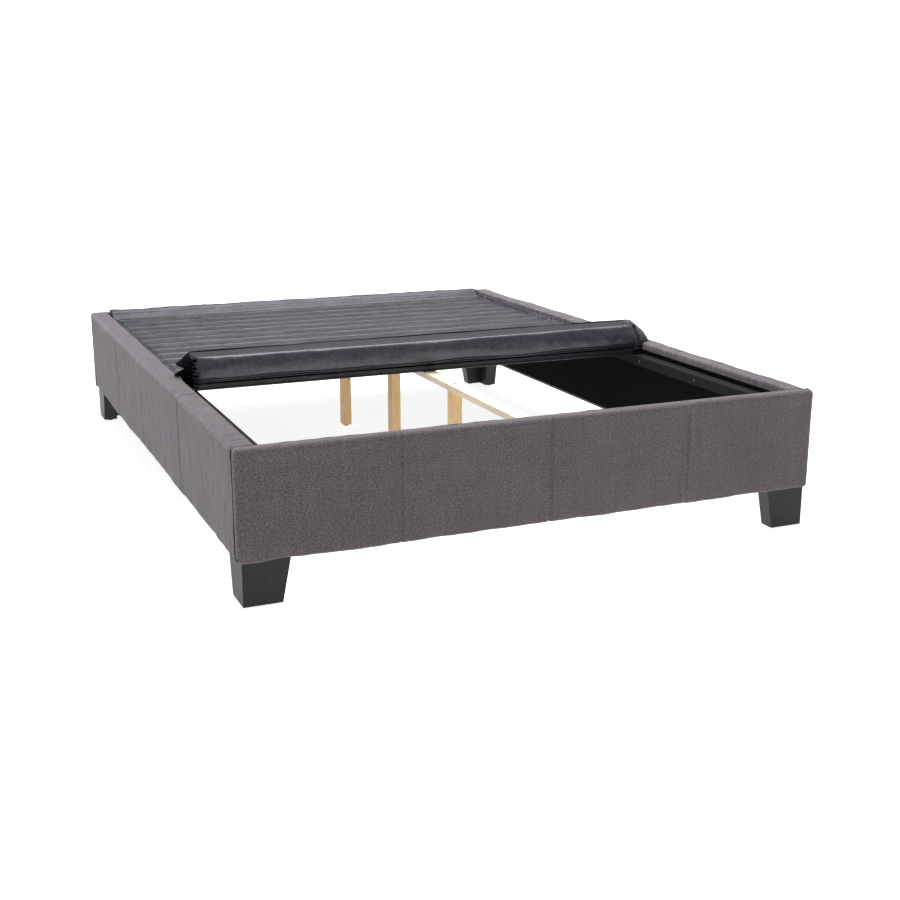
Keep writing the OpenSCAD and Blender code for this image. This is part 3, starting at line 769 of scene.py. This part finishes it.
# padded foot flap: bulging front, tucked hem; the profile holds (inward, share of the height)
fy, fh = FLAP_LO.y, FLAP_HI.z - FLAP_LO.z
prof = np.array([
    (0.0085, 1.000), (0.0040, 1.008), (0.0000, 0.985), (-0.0030, 0.93), (-0.0055, 0.82), (-0.0066, 0.66),
    (-0.0062, 0.50), (-0.0045, 0.34), (-0.0015, 0.20), (0.0020, 0.10), (0.0042, 0.045), (0.0050, 0.010),
    (0.0062, 0.000), (0.0072, 0.030), (0.0076, 0.20), (0.0078, 0.5), (0.0080, 0.8), (0.0084, 0.95)])
FLAP_X0, FLAP_X1, FLAP_SAG = -0.716, 0.722, 0.0035
fx = np.linspace(FLAP_X0, FLAP_X1, 170)
X = np.repeat(fx[:, None], len(prof), 1)
U = np.repeat(prof[None, :, 1], len(fx), 0)
right = smooth01((X - 0.66) / 0.06)
Xs = X + right * (0.012 - 0.030 * U)
Yf = fy + np.repeat(prof[None, :, 0], len(fx), 0)
Zf = FLAP_LO.z + U * fh
P = np.stack([X, Yf * 0, Zf], -1)
ends = smooth01(np.minimum(X - FLAP_X0, FLAP_X1 - X) / 0.03)
face = smooth01((0.006 - np.repeat(prof[None, :, 0], len(fx), 0)) / 0.006)
puff = (0.0016 * SOFT(P, (1, 1, 0.5)) + 0.0009 * CREASE(P, (1.2, 1, 1.6))) * face * np.sin(
    np.pi * np.clip(U, 0, 1)) ** 0.5
Yf = Yf - puff + (1 - ends) * 0.004 * face
sag = FLAP_SAG * np.sin(np.pi * (X - FLAP_X0) / (FLAP_X1 - FLAP_X0))
Zf = Zf + 0.0012 * SOFT(P * 0.7 + 5) * (1 - U) - sag * (1 - 0.4 * U)
# the flap takes the lighter vinyl copy: painted sheen on its face
flap = new_mesh("foot_flap_pad", np.stack([Xs, Yf, Zf], -1).reshape(-1, 3),
                tube_faces(len(fx), len(prof)), M_FLAP_PAINTED_SHEEN, "foot_flap")
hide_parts("foot_flap")

px = np.linspace(-0.712, 0.728, 160)
path = np.stack([px, np.full(160, fy + 0.0045), FLAP_LO.z + 0.0008
                 + 0.0012 * SOFT(np.stack([px, 0 * px, np.full(160, FLAP_LO.z)], -1) * 0.7 + 5)
                 - FLAP_SAG * np.sin(np.pi * (px - FLAP_X0) / (FLAP_X1 - FLAP_X0))], -1)
hem = new_mesh("foot_flap_piping", *cord_mesh(path, 0.0024, 10), M_PIPING, "foot_flap")

# head flap lying over the head rail, rippled
hx = np.linspace(-MAT_X + 0.002, MAT_X - 0.002, 220)
base = np.array([
    (MAT_HEAD - 0.010, MAT_Z + MAT_T + 0.0004), (MAT_HEAD - 0.004, MAT_Z + MAT_T + 0.0008),
    (MAT_HEAD + 0.004, MAT_Z + MAT_T + 0.003), (MAT_HEAD + 0.014, MAT_Z + MAT_T + 0.009),
    (MAT_HEAD + 0.024, MAT_Z + MAT_T + 0.017), (IN_Y - 0.006, RAIL_TOP - 0.004),
    (IN_Y + 0.001, RAIL_TOP + 0.0012), (IN_Y + 0.007, RAIL_TOP + 0.0032),
    (IN_Y + 0.014, RAIL_TOP + 0.0036), (IN_Y + 0.021, RAIL_TOP + 0.0036),
    (IN_Y + 0.027, RAIL_TOP + 0.0034), (IN_Y + 0.031, RAIL_TOP + 0.0030)])


def ripple(co, w):
    q = co.copy()
    amp = smooth01((w - 0.35) / 0.5)[None, :]
    r = SOFT(co * [1, 0, 0], (0.8, 1, 1))
    q[..., 2] += 0.0007 * (r + 0.9).clip(0) * amp + 0.0004 * CREASE(co * [1, 0.3, 0]) * amp ** 2
    q[..., 2] += 0.0013 * np.sin(w * 2 * np.pi * 3.5)[None, :]
    q[..., 1] += 0.0015 * SOFT(co * [1, 0, 0] + 4, (1.3, 1, 1)) * amp
    return q


base = np.stack([np.interp(np.linspace(0, 1, 45), np.linspace(0, 1, len(base)), base[:, i])
                 for i in (0, 1)], -1)
# the head flap takes the mat vinyl, so the painted rib shade and highlight run on over it
ob, long = strip("head_flap", base, 0.0018, hx, M_MAT_PAINTED_RIBS, ripple)
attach(ob, "root")

# ---------------------------------------------------------------- floor, light, camera
me = bpy.data.meshes.new("floor")
REACH, FAR = 40, 60     # the floor's half width, and how far it runs past the head
me.from_pydata([(-REACH, -REACH, 0), (REACH, -REACH, 0), (REACH, FAR, 0), (-REACH, FAR, 0)],
               [], [(0, 1, 2, 3)])
floor = bpy.data.objects.new("floor", me)
scene.collection.objects.link(floor)
fm = Mat("pale_floor", rough=0.8, spec=0.1)
fm.done(fm.ramp(fm.noise(fm.coords(), 3, 3), [(0.3, (0.49, 0.49, 0.49)), (0.7, (0.51, 0.51, 0.51))]))
fm.b.inputs["Emission Color"].default_value = (1, 1, 1, 1)
fm.b.inputs["Emission Strength"].default_value = 0.88
me.materials.append(fm.m)

world = bpy.data.worlds.new("studio")
scene.world = world
world.use_nodes = True
wt = world.node_tree
bg = wt.nodes["Background"]
path_node = wt.nodes.new("ShaderNodeLightPath")
mixer = wt.nodes.new("ShaderNodeMapRange")
heading = wt.nodes.new("ShaderNodeVectorMath")
heading.operation = "DOT_PRODUCT"
heading.inputs[1].default_value = (0.0, 1.0, 0.0)
gradient = wt.nodes.new("ShaderNodeMapRange")
for label, value in (("From Min", -1.0), ("From Max", 1.0), ("To Min", 0.24), ("To Max", 0.44)):
    gradient.inputs[label].default_value = value
wt.links.new(wt.nodes.new("ShaderNodeTexCoord").outputs["Generated"], heading.inputs[0])
wt.links.new(heading.outputs["Value"], gradient.inputs["Value"])
wt.links.new(gradient.outputs["Result"], mixer.inputs["To Min"])
mixer.inputs["To Max"].default_value = 1.0
wt.links.new(path_node.outputs["Is Camera Ray"], mixer.inputs["Value"])
wt.links.new(mixer.outputs["Result"], bg.inputs["Strength"])
bg.inputs["Color"].default_value = (1, 1, 1, 1)


def softbox(name, at, to, size, power):
    d = bpy.data.lights.new(name, "AREA")
    d.shape, d.size, d.size_y, d.energy = "RECTANGLE", size[0], size[1], power
    o = bpy.data.objects.new(name, d)
    scene.collection.objects.link(o)
    o.location = at
    o.rotation_mode = "QUATERNION"
    o.rotation_quaternion = (Vector(to) - Vector(at)).to_track_quat("-Z", "Y")
    return o


softbox("key_above", (0.5, 0.6, 3.5), (0.2, 0.1, 0.3), (3.0, 4.5), 290)
softbox("fill_left", (-4.2, 2.6, 1.7), (-0.8, 0.6, 0.3), (2.5, 2.0), 9)

yaw, pitch, roll = (math.radians(v) for v in (23.374, 15.130, 0.074))
eye = Vector((-1.4962, -3.8868, 1.0529 + LEG_H))
ahead = Vector((math.sin(yaw) * math.cos(pitch), math.cos(yaw) * math.cos(pitch), -math.sin(pitch)))
across = Vector((math.cos(yaw), -math.sin(yaw), 0))
upward = across.cross(ahead)
right_v = math.cos(roll) * across + math.sin(roll) * upward
up_v = -math.sin(roll) * across + math.cos(roll) * upward
cam = bpy.data.objects.new("camera", bpy.data.cameras.new("camera"))
scene.collection.objects.link(cam)
cam.data.sensor_width = 36
cam.data.lens = 52.12
cam.matrix_world = Matrix.Translation(eye) @ Matrix((right_v, up_v, -ahead)).transposed().to_4x4()
scene.camera = cam
